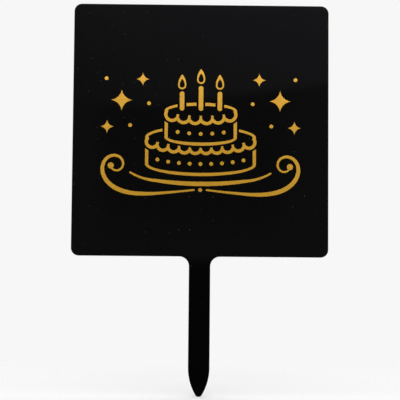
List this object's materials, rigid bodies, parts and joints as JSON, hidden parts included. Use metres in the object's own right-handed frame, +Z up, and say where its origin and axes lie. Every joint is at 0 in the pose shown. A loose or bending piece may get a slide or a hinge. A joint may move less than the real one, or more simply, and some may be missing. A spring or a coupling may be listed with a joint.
{
  "type": "cake topper",
  "caption": "Square black acrylic cake topper with rounded corners, a pointed stake that pushes into the cake and a gold foil picture of a birthday cake on its front.",
  "frame": {"origin": "On the stake's centreline, in the middle of the sheet's thickness, at the height where the top of the cake comes: 42 mm above the stake's tip and 12 mm below the plate's lower edge.", "axes": "+X to the right of someone who looks at the front, -Y out of the front with the gold foil, +Y out of the plain back, +Z up."},
  "size_m": [0.1, 0.0017, 0.153],
  "materials": {
    "black_acrylic": "gloss",
    "gold_foil": "satin"
  },
  "bodies": {
    "root": {"acrylic_blank": "black_acrylic", "gold_scroll_left": "gold_foil", "gold_scroll_right": "gold_foil", "gold_centre_pearl": "gold_foil", "gold_board_rim": "gold_foil", "gold_lower_wall": "gold_foil", "gold_lower_icing": "gold_foil", "gold_lower_pearls": "gold_foil", "gold_upper_wall": "gold_foil", "gold_upper_icing": "gold_foil", "gold_upper_back_rim": "gold_foil", "gold_upper_pearls": "gold_foil", "gold_candle_left": "gold_foil", "gold_candle_middle": "gold_foil", "gold_candle_right": "gold_foil", "gold_flame_left": "gold_foil", "gold_flame_middle": "gold_foil", "gold_flame_right": "gold_foil", "gold_large_stars": "gold_foil", "gold_small_stars": "gold_foil", "gold_confetti_dots": "gold_foil"}
  },
  "joints": []
}
